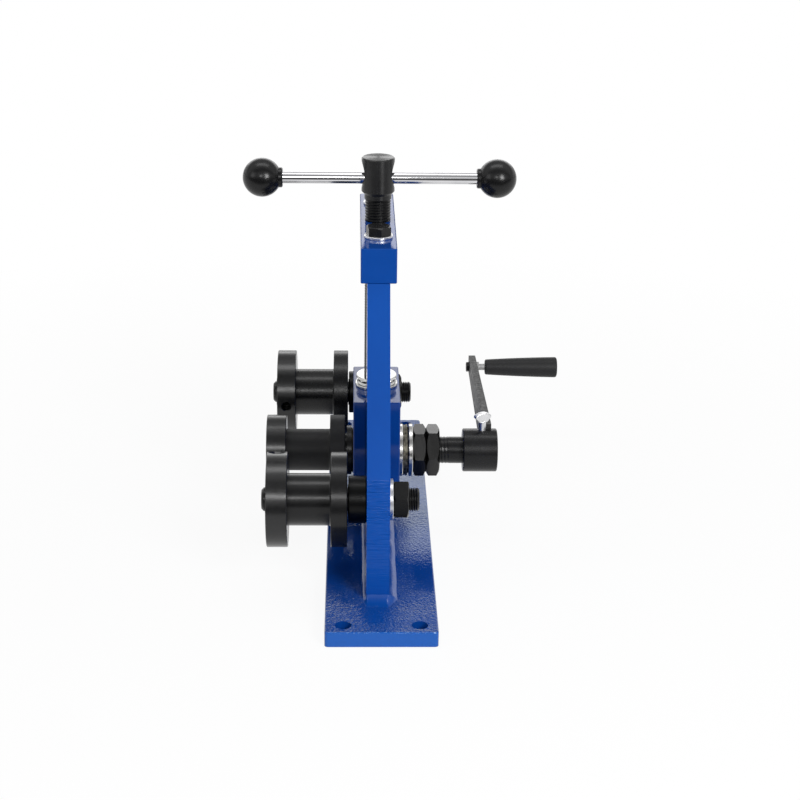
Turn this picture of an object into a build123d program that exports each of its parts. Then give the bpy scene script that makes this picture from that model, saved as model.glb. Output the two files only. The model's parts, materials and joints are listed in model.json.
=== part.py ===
"""Manual three-roller pipe bender for a bench.

A slotted frame plate is welded on edge to a base plate. Two idle rollers turn on
axles bolted through the plate. A carriage slides in the slot and carries the
driven roller and its crank, and a screw through the crosshead presses it down.

Millimetres. +Z is up, +X points to the crank side and +Y to the rear. The origin
is on the underside of the base, under the axis of the pressure screw.
"""
import math
import os

from build123d import *

# Clearances
running_gap = 0.05        # radial gap of a shaft in its bore
seat_gap = 0.02           # radial gap of a piece that is pressed, screwed or keyed in place
guide_gap = 0.3           # gap of the carriage on the edges of the frame plate
end_float = 0.3           # axial gap of a turning piece between its shoulders
edge_break = 0.8          # chamfer on sawn and cut plate edges
rim_break = 1.0           # chamfer on turned rims

# Base plate
base_width = 92.0
base_thickness = 13.0
base_offset = 2.5         # middle of the base from the frame plate, towards the crank
base_end_margin = 56.5    # from the end of the frame plate to the end of the base
base_corner = 3.0
mount_hole_diameter = 13.5
mount_hole_spacing_x = 62.0
mount_hole_edge = 12.5    # from the end of the base to the middle of a hole

# Frame plate
plate_thickness = 19.0
plate_height = 248.0
plate_end_margin = 46.0   # from an idle axle to the end of the plate
plate_shoulder = 108.5    # height of the upright ends, where the slope starts
slot_width = 66.0
slot_floor = 11.0         # height of the floor of the slot above the base
slot_corner = 3.0
post_top_width = 54.5     # width of each post under the crosshead
weld_height = 5.0
weld_leg_left = 4.6
weld_leg_right = 7.0
weld_leg_end = 13.0       # the bead runs out long at the ends of the plate

# Crosshead and its bolts
crosshead_size = 30.0
bolt_setback = 20.0       # from the edge of the slot to a bolt
bolt_diameter = 12.0
bolt_hole_diameter = 13.0
bolt_grip = 25.0          # length of bolt in the plate
bolt_flats = 19.0
bolt_head_height = 7.5
bolt_head_turn = -18.5    # angle of a head flat from square to the front, towards the crank
bolt_washer_diameter = 24.0
bolt_washer_thickness = 2.5

# Idle axles
roller_spacing = 250.0
axle_height = 70.5        # above the base
axle_diameter = 20.0
axle_collar_diameter = 25.0
axle_collar_thickness = 0.55
axle_nose = 3.2           # length past the retaining ring
axle_tail = 8.9           # thread length past the nut
spacer_diameter = 40.0
spacer_length = 15.15
axle_washer_diameter = 35.0
axle_washer_thickness = 3.5
axle_nut_flats = 30.0
axle_nut_height = 13.0
axle_nut_turns = (54.0, 20.0)  # how far a flat is lifted from facing forward
circlip_diameter = 27.0
circlip_groove_diameter = 18.6
circlip_thickness = 1.2

# Idle rollers
idle_flange_diameter = 80.0
idle_hub_diameter = 44.0
idle_groove_width = 35.9
idle_inner_flange_thickness = 13.7
outer_flange_thickness = 17.5
roller_root = 1.2         # fillet between hub and flange
roller_break = 0.5        # chamfer on flange rims
bush_wall = 3.0
set_screw_diameter = 8.0
set_screw_length = 8.0
set_screw_mouth = 10.0
front_screw_mouth = 16.0   # countersunk wider
set_screw_socket = 4.0
front_screw_angle = 105.0  # set screw direction, from facing forward to facing up
rear_screw_angle = 0.0
drive_screw_angle = 205.0

# Carriage
carriage_lug_thickness = 11.0
carriage_lug_reach = 12.5
carriage_height = 100.0
carriage_floor_gap = 15.3  # from the floor of the slot to the carriage
shaft_height = 36.5        # from the bottom of the carriage to the shaft
carriage_bush_wall = 4.0
carriage_bush_length = 18.0

# Drive shaft, its bearing and nuts
shaft_diameter = 30.0
shaft_collar_diameter = 44.6
shaft_collar_thickness = 4.2
shaft_shoulder = 1.6      # length of full shaft between its collar and the roller
thrust_washer_thickness = 1.5
thrust_washer_diameter = 40.0
drive_bearing_diameter = 47.5
drive_bearing_height = 12.4
drive_bearing_race = 3.6
drive_ball_diameter = 6.0
drive_ball_count = 14
drive_cage_thickness = 3.6
drive_cage_lip = 1.4      # width of the raised lip on the rim of the cage
lock_nut_thread = 27.0
lock_nut_flats = 41.0
lock_nut_height = 12.1
lock_nut_turns = (29.0, 31.2)
shaft_neck_length = 21.3  # bare shaft between the nuts and the crank hub
shaft_neck_diameter = 24.0

# Drive roller
drive_flange_diameter = 63.0
drive_hub_diameter = 37.5
drive_groove_width = 39.1
drive_inner_flange_thickness = 13.5
drive_bore_diameter = 25.0
key_width = 8.0
key_height = 7.0
key_length = 40.0
end_screw_diameter = 8.0
end_screw_length = 22.0
end_screw_head_diameter = 31.0
end_screw_head_height = 4.0

# Crank
crank_hub_diameter = 39.0
crank_hub_length = 30.8
crank_hub_cover = 2.4     # hub length past the end of the shaft
arm_thickness = 6.5
arm_from_hub_end = 5.0
arm_tip_margin = 13.5     # from the handle bolt to the end of the arm
arm_root_above = 23.85    # reach of the arm above the hub axis, at its root
arm_root_below = 17.0
arm_tip_width = 17.0
arm_start = 3.5
arm_tip_corner = 4.0
arm_angle = -0.38         # at rest, from pointing to the rear and level
wing_bolt_diameter = 6.0
wing_bolt_from_hub_end = 13.4
wing_bolt_grip = 7.5      # length of wing bolt in the hub
wing_bolt_neck = 7.6      # bare length above the hub
wing_neck_diameter = 6.8
wing_root_width = 7.0
wing_span = 15.6
wing_height = 9.4
wing_tip_low = 5.0        # height of the widest place above the root
wing_tip_high = 6.8       # height where the top arc starts
wing_thickness = 5.2
wing_edge = 0.9
wing_turn = 19.0          # angle of the wings about the bolt
handle_radius = 220.0
handle_bolt_diameter = 6.4
handle_collar_diameter = 10.5
handle_collar_length = 3.2
handle_neck_length = 5.9
handle_nut_flats = 9.0
handle_nut_height = 3.3
handle_head_diameter = 12.0
handle_head_height = 4.0
handle_head_recess = 6.0
grip_length = 73.5
grip_small_diameter = 15.3
grip_swell_diameter = 18.9  # halfway along, so that the grip bulges
grip_large_diameter = 20.7
grip_small_edge = 1.5
grip_large_edge = 2.0

# Pressure screw and its bearing
screw_diameter = 22.0
screw_head_diameter = 28.4
screw_head_bevel = 2.4    # width of the bevel under the head
screw_head_bevel_height = 2.7
screw_collar_diameter = 23.4
screw_collar_height = 3.6
screw_head_height = 32.0
screw_head_gap = 23.2     # bare thread between crosshead and head
screw_spigot_diameter = 16.0
screw_spigot_length = 33.0
screw_groove_diameter = 11.0
screw_groove_width = 6.6
screw_groove_depth_below_carriage_top = 15.0
retaining_pin_diameter = 6.0
screw_bearing_diameter = 37.4
screw_bearing_upper_diameter = 35.6
screw_bearing_height = 10.0
screw_bearing_race = 2.7
screw_bearing_bore = 17.0
screw_ball_diameter = 5.6
screw_ball_count = 12
screw_cage_thickness = 2.5

# Tommy bar
tommy_bar_diameter = 10.0
tommy_bar_below_top = 18.3
tommy_bar_offset = 1.5    # how far the bar is pushed through towards the crank side
tommy_hole_diameter = 16.6  # loose, the bar rests on the bottom of its hole
tommy_hole_mouth = 24.0   # countersink where the bar leaves the head
tommy_hole_dish = 2.6
ball_spacing = 201.0
ball_diameter = 33.0
ball_neck_diameter = 17.0
ball_neck_reach = 17.5    # from the middle of the ball to the end of its neck
ball_bore_depth = 22.0

# Places that follow from the sizes above
base_top = base_thickness
plate_length = roller_spacing + 2 * plate_end_margin
base_length = plate_length + 2 * base_end_margin
mount_hole_spacing_y = base_length - 2 * mount_hole_edge
plate_top = base_top + plate_height
slot_bottom = base_top + slot_floor
crosshead_length = slot_width + 2 * post_top_width
crosshead_top = plate_top + crosshead_size
bolt_y = slot_width / 2 + bolt_setback
axle_z = base_top + axle_height
axle_y = roller_spacing / 2
plate_face = plate_thickness / 2

carriage_width = plate_thickness + 2 * carriage_lug_thickness
carriage_depth = slot_width + 2 * carriage_lug_reach
carriage_face = carriage_width / 2
carriage_bottom = slot_bottom + carriage_floor_gap
carriage_top = carriage_bottom + carriage_height
shaft_z = carriage_bottom + shaft_height
screw_foot = carriage_top + screw_bearing_height
screw_head_bottom = crosshead_top + screw_head_gap
screw_head_top = screw_head_bottom + screw_head_height
tommy_z = screw_head_top - tommy_bar_below_top
tommy_hole_z = tommy_z + (tommy_hole_diameter - tommy_bar_diameter) / 2 - running_gap

# Places along X on an idle axle, from the plate outwards
spacer_end = -plate_face - spacer_length
axle_shoulder = spacer_end - axle_collar_thickness
idle_inner_face = axle_shoulder - end_float
idle_groove_start = idle_inner_face - idle_inner_flange_thickness
idle_groove_end = idle_groove_start - idle_groove_width
idle_outer_face = idle_groove_end - outer_flange_thickness
circlip_face = idle_outer_face - end_float
axle_nose_end = circlip_face - circlip_thickness - axle_nose
axle_washer_face = plate_face + axle_washer_thickness
axle_nut_face = axle_washer_face + axle_nut_height
axle_tail_end = axle_nut_face + axle_tail

# Places along X on the drive shaft
collar_face = -carriage_face - thrust_washer_thickness
shoulder_face = collar_face - shaft_collar_thickness
drive_inner_face = shoulder_face - shaft_shoulder
drive_groove_start = drive_inner_face - drive_inner_flange_thickness
drive_groove_end = drive_groove_start - drive_groove_width
drive_outer_face = drive_groove_end - outer_flange_thickness
shaft_end_left = drive_outer_face + end_screw_head_height
race_face = carriage_face + drive_bearing_height
nut_face = race_face + lock_nut_height
neck_start = nut_face + lock_nut_height
hub_start = neck_start + shaft_neck_length
hub_end = hub_start + crank_hub_length
shaft_end_right = hub_end - crank_hub_cover
arm_outer_face = hub_end - arm_from_hub_end
arm_inner_face = arm_outer_face - arm_thickness
arm_length = handle_radius + arm_tip_margin


# Shape helpers

def turned(profile, y=0.0, z=0.0):
    """A solid turned about a line along X through (y, z), from (x, radius) points."""
    face = make_face(Polyline(*profile, close=True))
    return Pos(0, y, z) * revolve(face, Axis.X)


def turned_upright(profile):
    """A solid turned about the Z axis, from (z, radius) points."""
    return Rot(0, -90, 0) * turned(profile)


def rod_profile(start, end, radius, start_break=0.0, end_break=0.0):
    """Half section of a rod whose end edges are broken."""
    points = [(start, 0), (start, radius - start_break)]
    if start_break:
        points.append((start + start_break, radius))
    if end_break:
        points.append((end - end_break, radius))
    points += [(end, radius - end_break), (end, 0)]
    return points


def ring_profile(start, end, inner, outer, break_size=0.0):
    """Half section of a ring whose outer edges are broken."""
    if not break_size:
        return [(start, inner), (start, outer), (end, outer), (end, inner)]
    return [
        (start, inner),
        (start, outer - break_size),
        (start + break_size, outer),
        (end - break_size, outer),
        (end, outer - break_size),
        (end, inner),
    ]


def hexagon(flats, start, end, turn, bevel_start=True, bevel_end=True):
    """A hexagon bar along X with turned bevels; turn lifts a flat from facing forward."""
    corner = flats / math.cos(math.radians(30)) / 2
    land = flats * 0.475
    bevel = (corner - land) * math.tan(math.radians(30))
    section = Rot(0, 0, 30 - turn) * RegularPolygon(flats / 2, 6, major_radius=False)
    bar = extrude(Plane.YZ.offset(start) * section, amount=end - start, dir=(1, 0, 0))
    profile = [(start, 0), (start, land if bevel_start else corner)]
    if bevel_start:
        profile.append((start + bevel, corner))
    if bevel_end:
        profile.append((end - bevel, corner))
    profile += [(end, land if bevel_end else corner), (end, 0)]
    return bar & turned(profile)


def radial(angle, y, z):
    """Placement whose X axis points outwards at an angle from facing forward to facing up."""
    return Pos(0, y, z) * Rot(180 - angle, 0, 0) * Rot(0, 0, 90)


def ring_places(count, x, circle_radius):
    """Places set evenly on a circle about the X axis."""
    places = []
    for number in range(count):
        angle = 2 * math.pi * number / count
        places.append(Pos(x, circle_radius * math.cos(angle), circle_radius * math.sin(angle)))
    return places


def group(solids):
    """Several separate solids that share one node."""
    return Compound(children=[solid for item in solids for solid in item.solids()])


def thrust_bearing(
    outer, far_outer, bore, height, race, ball_diameter, count, tight_bore, cage_thickness, cage_lip=0.0
):
    """Two races, cage and balls along X from 0; the far race fits the shaft, the cage lies by the near race."""
    ball_radius = ball_diameter / 2
    circle = (outer + bore) / 4
    middle = height / 2
    track = Pos(middle, 0, 0) * Rot(0, 90, 0)
    near_race = turned(ring_profile(0, race, bore / 2, outer / 2, rim_break / 2))
    near_race -= track * Torus(circle, ball_radius + seat_gap)
    far_race = turned(ring_profile(height - race, height, tight_bore / 2, far_outer / 2, rim_break / 2))
    far_race -= track * Torus(circle, ball_radius + end_float)
    places = ring_places(count, middle, circle)
    balls = [place * Sphere(ball_radius) for place in places]
    cage_start = race + end_float
    cage_end = cage_start + cage_thickness
    cage_inner = bore / 2 + end_float
    cage_outer = far_outer / 2 - rim_break / 2
    cage = turned(ring_profile(cage_start, cage_end, cage_inner, cage_outer))
    if cage_lip:
        waste = ring_profile(0, cage_end - cage_lip, cage_outer - rim_break / 2, outer)
        cage -= turned(waste)
    for place in places:
        cage -= place * turned(rod_profile(-height, height, ball_radius + 3 * running_gap))
    return near_race, far_race, balls, cage


# Welded frame

def make_base_plate():
    plate = Pos(base_offset, 0, base_top / 2) * Box(base_width, base_length, base_thickness)
    plate = fillet(plate.edges().filter_by(Axis.Z), base_corner)
    plate = chamfer(plate.faces().sort_by(Axis.Z)[-1].edges(), edge_break)
    for spot in GridLocations(mount_hole_spacing_x, mount_hole_spacing_y, 2, 2):
        drill = Cylinder(mount_hole_diameter / 2, 2 * base_thickness)
        plate -= Pos(base_offset, 0, base_top / 2) * spot * drill
    return plate


def make_frame_plate():
    half_length = plate_length / 2
    half_top = crosshead_length / 2
    outline = Polyline(
        (-half_length, base_top),
        (half_length, base_top),
        (half_length, base_top + plate_shoulder),
        (half_top, plate_top),
        (-half_top, plate_top),
        (-half_length, base_top + plate_shoulder),
        close=True,
    )
    plate = extrude(Plane.YZ * make_face(outline), amount=plate_face, both=True)
    slot_height = plate_top - slot_bottom
    slot = Pos(0, 0, slot_bottom + slot_height / 2) * Box(2 * plate_thickness, slot_width, slot_height)
    floor_edges = slot.edges().filter_by(Axis.X).group_by(Axis.Z)[0]
    plate -= fillet(floor_edges, slot_corner)
    axle_hole = rod_profile(-plate_thickness, plate_thickness, axle_diameter / 2 + seat_gap)
    for side in (-1, 1):
        plate -= turned(axle_hole, side * axle_y, axle_z)
        hole = turned_upright(rod_profile(plate_top - bolt_grip, plate_top, bolt_diameter / 2 + seat_gap))
        plate -= Pos(0, side * bolt_y, 0) * hole
    return plate


def make_foot_weld():
    toe_width = plate_thickness + weld_leg_left + weld_leg_right
    toe_offset = (weld_leg_right - weld_leg_left) / 2
    toe = Pos(toe_offset, 0, base_top) * Rectangle(toe_width, plate_length + 2 * weld_leg_end)
    crest = Pos(0, 0, base_top + weld_height) * Rectangle(
        plate_thickness + end_float, plate_length + end_float
    )
    bead = loft([toe.face(), crest.face()], ruled=True)
    return bead - Pos(0, 0, base_top) * Box(plate_thickness, plate_length, 4 * weld_height)


def make_crosshead():
    bar = Pos(0, 0, plate_top + crosshead_size / 2) * Box(crosshead_size, crosshead_length, crosshead_size)
    bar = chamfer(bar.edges(), edge_break)
    bar -= turned_upright(rod_profile(plate_top, crosshead_top, screw_diameter / 2 + running_gap))
    for side in (-1, 1):
        hole = turned_upright(rod_profile(plate_top, crosshead_top, bolt_hole_diameter / 2))
        bar -= Pos(0, side * bolt_y, 0) * hole
    return bar


def make_crosshead_washers():
    bore = bolt_hole_diameter / 2
    rim = bolt_washer_diameter / 2
    profile = ring_profile(crosshead_top, crosshead_top + bolt_washer_thickness, bore, rim, edge_break / 2)
    return group([Pos(0, side * bolt_y, 0) * turned_upright(profile) for side in (-1, 1)])


def make_crosshead_bolts():
    seat = crosshead_top + bolt_washer_thickness
    head = Rot(0, -90, 0) * hexagon(bolt_flats, seat, seat + bolt_head_height, 0, False, True)
    head = Rot(0, 0, bolt_head_turn) * head
    tip_break = bolt_diameter / 8
    shank = turned_upright(rod_profile(plate_top - bolt_grip + tip_break, seat, bolt_diameter / 2, tip_break))
    bolt = head + shank
    return group([Pos(0, side * bolt_y, 0) * bolt for side in (-1, 1)])


# Idle axles and what holds them

def make_axle(y):
    radius = axle_diameter / 2
    nose_break = axle_nose * 0.6
    tail_break = axle_diameter / 12
    clip_start = circlip_face - circlip_thickness - seat_gap
    clip_end = circlip_face + seat_gap
    groove = circlip_groove_diameter / 2
    collar = axle_collar_diameter / 2
    profile = [
        (axle_nose_end, 0),
        (axle_nose_end, radius - nose_break),
        (axle_nose_end + nose_break, radius),
        (clip_start, radius),
        (clip_start, groove),
        (clip_end, groove),
        (clip_end, radius),
        (axle_shoulder, radius),
        (axle_shoulder, collar),
        (spacer_end, collar),
        (spacer_end, radius),
        (axle_tail_end - tail_break, radius),
        (axle_tail_end, radius - tail_break),
        (axle_tail_end, 0),
    ]
    return turned(profile, y, axle_z)


def make_spacer(y):
    bore = axle_diameter / 2 + seat_gap
    return turned(ring_profile(spacer_end, -plate_face, bore, spacer_diameter / 2, edge_break), y, axle_z)


def make_axle_washers():
    bore = axle_diameter / 2 + running_gap
    profile = ring_profile(plate_face, axle_washer_face, bore, axle_washer_diameter / 2, edge_break / 2)
    return group([turned(profile, side * axle_y, axle_z) for side in (-1, 1)])


def make_axle_nuts():
    bore = rod_profile(axle_washer_face, axle_nut_face, axle_diameter / 2 + seat_gap)
    nuts = []
    for side, turn in zip((-1, 1), axle_nut_turns):
        nut = hexagon(axle_nut_flats, axle_washer_face, axle_nut_face, turn) - turned(bore)
        nuts.append(Pos(0, side * axle_y, axle_z) * nut)
    return group(nuts)


def make_circlips():
    inner = circlip_groove_diameter / 2 + seat_gap
    ring = turned(ring_profile(circlip_face - circlip_thickness, circlip_face, inner, circlip_diameter / 2))
    opening = Box(circlip_diameter, circlip_diameter / 4, circlip_diameter)
    clip = ring - Pos(circlip_face, 0, -circlip_diameter / 2) * opening
    return group([Pos(0, side * axle_y, axle_z) * clip for side in (-1, 1)])


# Rollers

def make_roller(inner_face, groove_start, outer_face, flange_diameter, hub_diameter, bore, y, z):
    """Hub and inner flange in one piece; the outer flange slides on the hub."""
    flange = flange_diameter / 2
    hub = hub_diameter / 2
    root = roller_root * (1 - math.sqrt(0.5))
    half_section = [
        (inner_face, bore),
        (inner_face, flange - roller_break),
        (inner_face - roller_break, flange),
        (groove_start + roller_break, flange),
        (groove_start, flange - roller_break),
        (groove_start, hub + roller_root),
        (groove_start - root, hub + root),
        (groove_start - roller_root, hub),
        (outer_face + roller_break, hub),
        (outer_face, hub - roller_break),
        (outer_face, bore),
    ]
    outline = [Line(a, b) for a, b in zip(half_section[:5], half_section[1:6])]
    outline.append(ThreePointArc(*half_section[5:8]))
    outline += [Line(a, b) for a, b in zip(half_section[7:], half_section[8:] + half_section[:1])]
    return Pos(0, y, z) * revolve(make_face(Curve() + outline), Axis.X)


def make_idle_roller(y):
    bore = axle_diameter / 2 + running_gap + bush_wall + seat_gap
    return make_roller(
        idle_inner_face, idle_groove_start, idle_outer_face,
        idle_flange_diameter, idle_hub_diameter, bore, y, axle_z,
    )


def make_roller_bush(y):
    inner = axle_diameter / 2 + running_gap
    return turned(ring_profile(idle_outer_face, idle_inner_face, inner, inner + bush_wall), y, axle_z)


def set_screw_span(hub_diameter):
    start = hub_diameter / 2 + end_float
    return start, start + set_screw_length


def make_outer_flange(outer_face, groove_end, flange_diameter, hub_diameter, screw_angle, mouth, y, z):
    bore = hub_diameter / 2 + running_gap
    rim = flange_diameter / 2
    ring = turned(ring_profile(outer_face, groove_end, bore, rim, roller_break), y, z)
    middle = (outer_face + groove_end) / 2
    hole_radius = set_screw_diameter / 2 + seat_gap
    mouth_radius = mouth / 2
    mouth_start = rim - (mouth_radius - hole_radius) - roller_break / 2
    hole = [
        (0, 0),
        (0, hole_radius),
        (mouth_start, hole_radius),
        (rim, mouth_radius),
        (rim + roller_break, mouth_radius),
        (rim + roller_break, 0),
    ]
    return ring - Pos(middle, 0, 0) * radial(screw_angle, y, z) * turned(hole)


def make_set_screw(outer_face, groove_end, hub_diameter, screw_angle, y, z):
    start, end = set_screw_span(hub_diameter)
    tip_break = set_screw_diameter / 6
    screw = turned(rod_profile(start, end, set_screw_diameter / 2, tip_break, edge_break / 2))
    socket = hexagon(set_screw_socket, end - set_screw_socket, end, 0, False, False)
    middle = (outer_face + groove_end) / 2
    return Pos(middle, 0, 0) * radial(screw_angle, y, z) * (screw - socket)


# Carriage

def make_carriage():
    middle = Pos(0, 0, (carriage_bottom + carriage_top) / 2)
    block = middle * Box(carriage_width, carriage_depth, carriage_height)
    block = chamfer(block.edges().filter_by(Axis.Z), edge_break)
    block = chamfer(block.faces().sort_by(Axis.Z)[-1].edges(), edge_break)
    groove_floor = slot_width / 2 - guide_gap
    groove_depth = carriage_lug_reach + guide_gap
    for side in (-1, 1):
        place = middle * Pos(0, side * (groove_floor + groove_depth), 0)
        block -= place * Box(plate_thickness + 2 * guide_gap, 2 * groove_depth, 2 * carriage_height)
    bush_outer = shaft_diameter / 2 + running_gap + carriage_bush_wall + seat_gap
    block -= turned(rod_profile(-carriage_width, carriage_width, bush_outer), 0, shaft_z)
    spigot_floor = screw_foot - screw_spigot_length - end_float
    block -= turned_upright(rod_profile(spigot_floor, carriage_top, screw_spigot_diameter / 2 + running_gap))
    for side in (-1, 1):
        pin_hole = rod_profile(-carriage_width, carriage_width, retaining_pin_diameter / 2 + seat_gap)
        block -= turned(pin_hole, side * retaining_pin_y, retaining_pin_z)
    return block


retaining_pin_z = carriage_top - screw_groove_depth_below_carriage_top
retaining_pin_y = screw_groove_diameter / 2 + retaining_pin_diameter / 2 + end_float


def make_retaining_pins():
    pin_break = edge_break / 2
    profile = rod_profile(-carriage_face, carriage_face, retaining_pin_diameter / 2, pin_break, pin_break)
    return group([turned(profile, side * retaining_pin_y, retaining_pin_z) for side in (-1, 1)])


def make_carriage_bushes():
    inner = shaft_diameter / 2 + running_gap
    outer = inner + carriage_bush_wall
    left = ring_profile(-carriage_face, -carriage_face + carriage_bush_length, inner, outer)
    right = ring_profile(carriage_face - carriage_bush_length, carriage_face, inner, outer)
    return group([turned(left, 0, shaft_z), turned(right, 0, shaft_z)])


def make_thrust_washer():
    inner = shaft_diameter / 2 + running_gap
    profile = ring_profile(collar_face, -carriage_face, inner, thrust_washer_diameter / 2)
    return turned(profile, 0, shaft_z)


# Pressure screw

def make_pressure_screw():
    thread = screw_diameter / 2
    spigot = screw_spigot_diameter / 2
    groove = screw_groove_diameter / 2
    head = screw_head_diameter / 2
    collar = screw_collar_diameter / 2
    collar_bottom = screw_head_bottom - screw_collar_height
    spigot_end = screw_foot - screw_spigot_length
    groove_low = retaining_pin_z - screw_groove_width / 2
    groove_high = retaining_pin_z + screw_groove_width / 2
    profile = [
        (spigot_end, 0),
        (spigot_end, spigot - edge_break),
        (spigot_end + edge_break, spigot),
        (groove_low, spigot),
        (groove_low, groove),
        (groove_high, groove),
        (groove_high, spigot),
        (screw_foot, spigot),
        (screw_foot, thread - edge_break),
        (screw_foot + edge_break, thread),
        (collar_bottom, thread),
        (collar_bottom, collar),
        (screw_head_bottom, collar),
        (screw_head_bottom, head - screw_head_bevel),
        (screw_head_bottom + screw_head_bevel_height, head),
        (screw_head_top - rim_break, head),
        (screw_head_top, head - rim_break),
        (screw_head_top, 0),
    ]
    screw = turned_upright(profile)
    hole_radius = tommy_hole_diameter / 2
    mouth = tommy_hole_mouth / 2
    cross_hole = [
        (-screw_head_diameter, 0),
        (-screw_head_diameter, mouth),
        (-head, mouth),
        (tommy_hole_dish - head, hole_radius),
        (head - tommy_hole_dish, hole_radius),
        (head, mouth),
        (screw_head_diameter, mouth),
        (screw_head_diameter, 0),
    ]
    return screw - turned(cross_hole, 0, tommy_hole_z)


# Tommy bar

def make_tommy_bar():
    rod_end = ball_spacing / 2 - ball_neck_reach + ball_bore_depth
    rod_break = tommy_bar_diameter / 8
    profile = rod_profile(-rod_end, rod_end, tommy_bar_diameter / 2, rod_break, rod_break)
    return Pos(tommy_bar_offset, 0, 0) * turned(profile, 0, tommy_z)


def make_ball_knob(side):
    neck = rod_profile(-ball_neck_reach, 0, ball_neck_diameter / 2, edge_break)
    bore = rod_profile(-ball_neck_reach, ball_bore_depth - ball_neck_reach, tommy_bar_diameter / 2 + seat_gap)
    knob = Sphere(ball_diameter / 2) + turned(neck) - turned(bore)
    facing = Rot(0, 0, 0 if side > 0 else 180)
    return Pos(side * ball_spacing / 2 + tommy_bar_offset, 0, tommy_z) * facing * knob


# Drive shaft and roller

def make_drive_shaft():
    seat = drive_bore_diameter / 2
    full = shaft_diameter / 2
    collar = shaft_collar_diameter / 2
    thread = lock_nut_thread / 2
    neck = shaft_neck_diameter / 2
    profile = [
        (shaft_end_left, 0),
        (shaft_end_left, seat),
        (drive_inner_face, seat),
        (drive_inner_face, full),
        (shoulder_face, full),
        (shoulder_face, collar),
        (collar_face, collar),
        (collar_face, full),
        (carriage_face + drive_bearing_height - drive_bearing_race, full),
        (carriage_face + drive_bearing_height - drive_bearing_race, thread),
        (neck_start - edge_break, thread),
        (neck_start, neck),
        (shaft_end_right - edge_break, neck),
        (shaft_end_right, neck - edge_break),
        (shaft_end_right, 0),
    ]
    shaft = turned(profile)
    hole_end = shaft_end_left + end_screw_length
    screw_hole = rod_profile(shaft_end_left, hole_end, end_screw_diameter / 2 + seat_gap)
    shaft -= turned(screw_hole)
    shaft -= key_block(seat_gap)
    return Pos(0, 0, shaft_z) * shaft


def key_block(gap):
    """The key, about the shaft axis, with a gap all round for its keyway."""
    middle = (shaft_end_left + end_screw_length + drive_inner_face) / 2
    centre = drive_bore_diameter / 2
    block = Box(key_length + 2 * gap, key_width + 2 * gap, key_height + 2 * gap)
    return Pos(middle, 0, centre) * block


def make_drive_key():
    return Pos(0, 0, shaft_z) * key_block(0)


def make_drive_roller():
    bore = drive_bore_diameter / 2 + seat_gap
    roller = make_roller(
        drive_inner_face, drive_groove_start, drive_outer_face,
        drive_flange_diameter, drive_hub_diameter, bore, 0, 0,
    )
    counterbore = rod_profile(drive_outer_face, shaft_end_left, end_screw_head_diameter / 2 + seat_gap)
    keyway_height = drive_bore_diameter / 2 + key_height / 2 + seat_gap
    keyway_length = drive_inner_face - shaft_end_left
    keyway = Pos((drive_inner_face + shaft_end_left) / 2, 0, keyway_height / 2)
    roller -= turned(counterbore)
    roller -= keyway * Box(keyway_length, key_width + 2 * seat_gap, keyway_height)
    return Pos(0, 0, shaft_z) * roller


def make_end_screw():
    head = rod_profile(drive_outer_face, shaft_end_left, end_screw_head_diameter / 2, edge_break)
    tip = end_screw_diameter / 8
    shank_end = shaft_end_left + end_screw_length - tip
    shank = rod_profile(shaft_end_left, shank_end, end_screw_diameter / 2, 0, tip)
    socket_end = drive_outer_face + end_screw_head_height
    socket = hexagon(end_screw_diameter * 0.75, drive_outer_face, socket_end, 0, False, False)
    return Pos(0, 0, shaft_z) * (turned(head) + turned(shank) - socket)


def make_lock_nuts():
    bore = turned(rod_profile(race_face, neck_start, lock_nut_thread / 2 + seat_gap))
    nuts = []
    for start, turn in zip((race_face, nut_face), lock_nut_turns):
        nut = hexagon(lock_nut_flats, start, start + lock_nut_height, turn) - bore
        nuts.append(Pos(0, 0, shaft_z) * nut)
    return group(nuts)


# Crank, made about the shaft axis with the arm level and pointing to the rear

def crank_place():
    return Pos(0, 0, shaft_z) * Rot(arm_angle, 0, 0)


def make_crank_hub():
    profile = ring_profile(hub_start, hub_end, 0, crank_hub_diameter / 2, edge_break)
    bore = rod_profile(hub_start, shaft_end_right + end_float, shaft_neck_diameter / 2 + seat_gap)
    hub = turned(profile) - turned(bore)
    hub -= Rot(-arm_angle, 0, 0) * wing_bolt_place() * turned_upright(wing_bolt_hole())
    return crank_place() * hub


def wing_bolt_place():
    """Upright line of the wing bolt, about the shaft axis."""
    return Pos(hub_end - wing_bolt_from_hub_end, 0, 0)


def wing_bolt_hole():
    tip = crank_hub_diameter / 2 - wing_bolt_grip
    return rod_profile(tip, crank_hub_diameter, wing_bolt_diameter / 2 + seat_gap)


def make_crank_arm():
    half_tip = arm_tip_width / 2
    outline = Polyline(
        (arm_start, -arm_root_below),
        (arm_length, -half_tip),
        (arm_length, half_tip),
        (arm_start, arm_root_above),
        close=True,
    )
    face = make_face(outline)
    tip_corners = face.vertices().sort_by(Axis.X)[-2:]
    face = fillet(tip_corners, arm_tip_corner)
    arm = extrude(Plane.YZ.offset(arm_inner_face) * face, amount=arm_thickness, dir=(1, 0, 0))
    for hole, y in ((crank_hub_diameter, 0), (handle_bolt_diameter, handle_radius)):
        arm -= turned(rod_profile(arm_inner_face, arm_outer_face, hole / 2 + seat_gap), y)
    return crank_place() * arm


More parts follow.
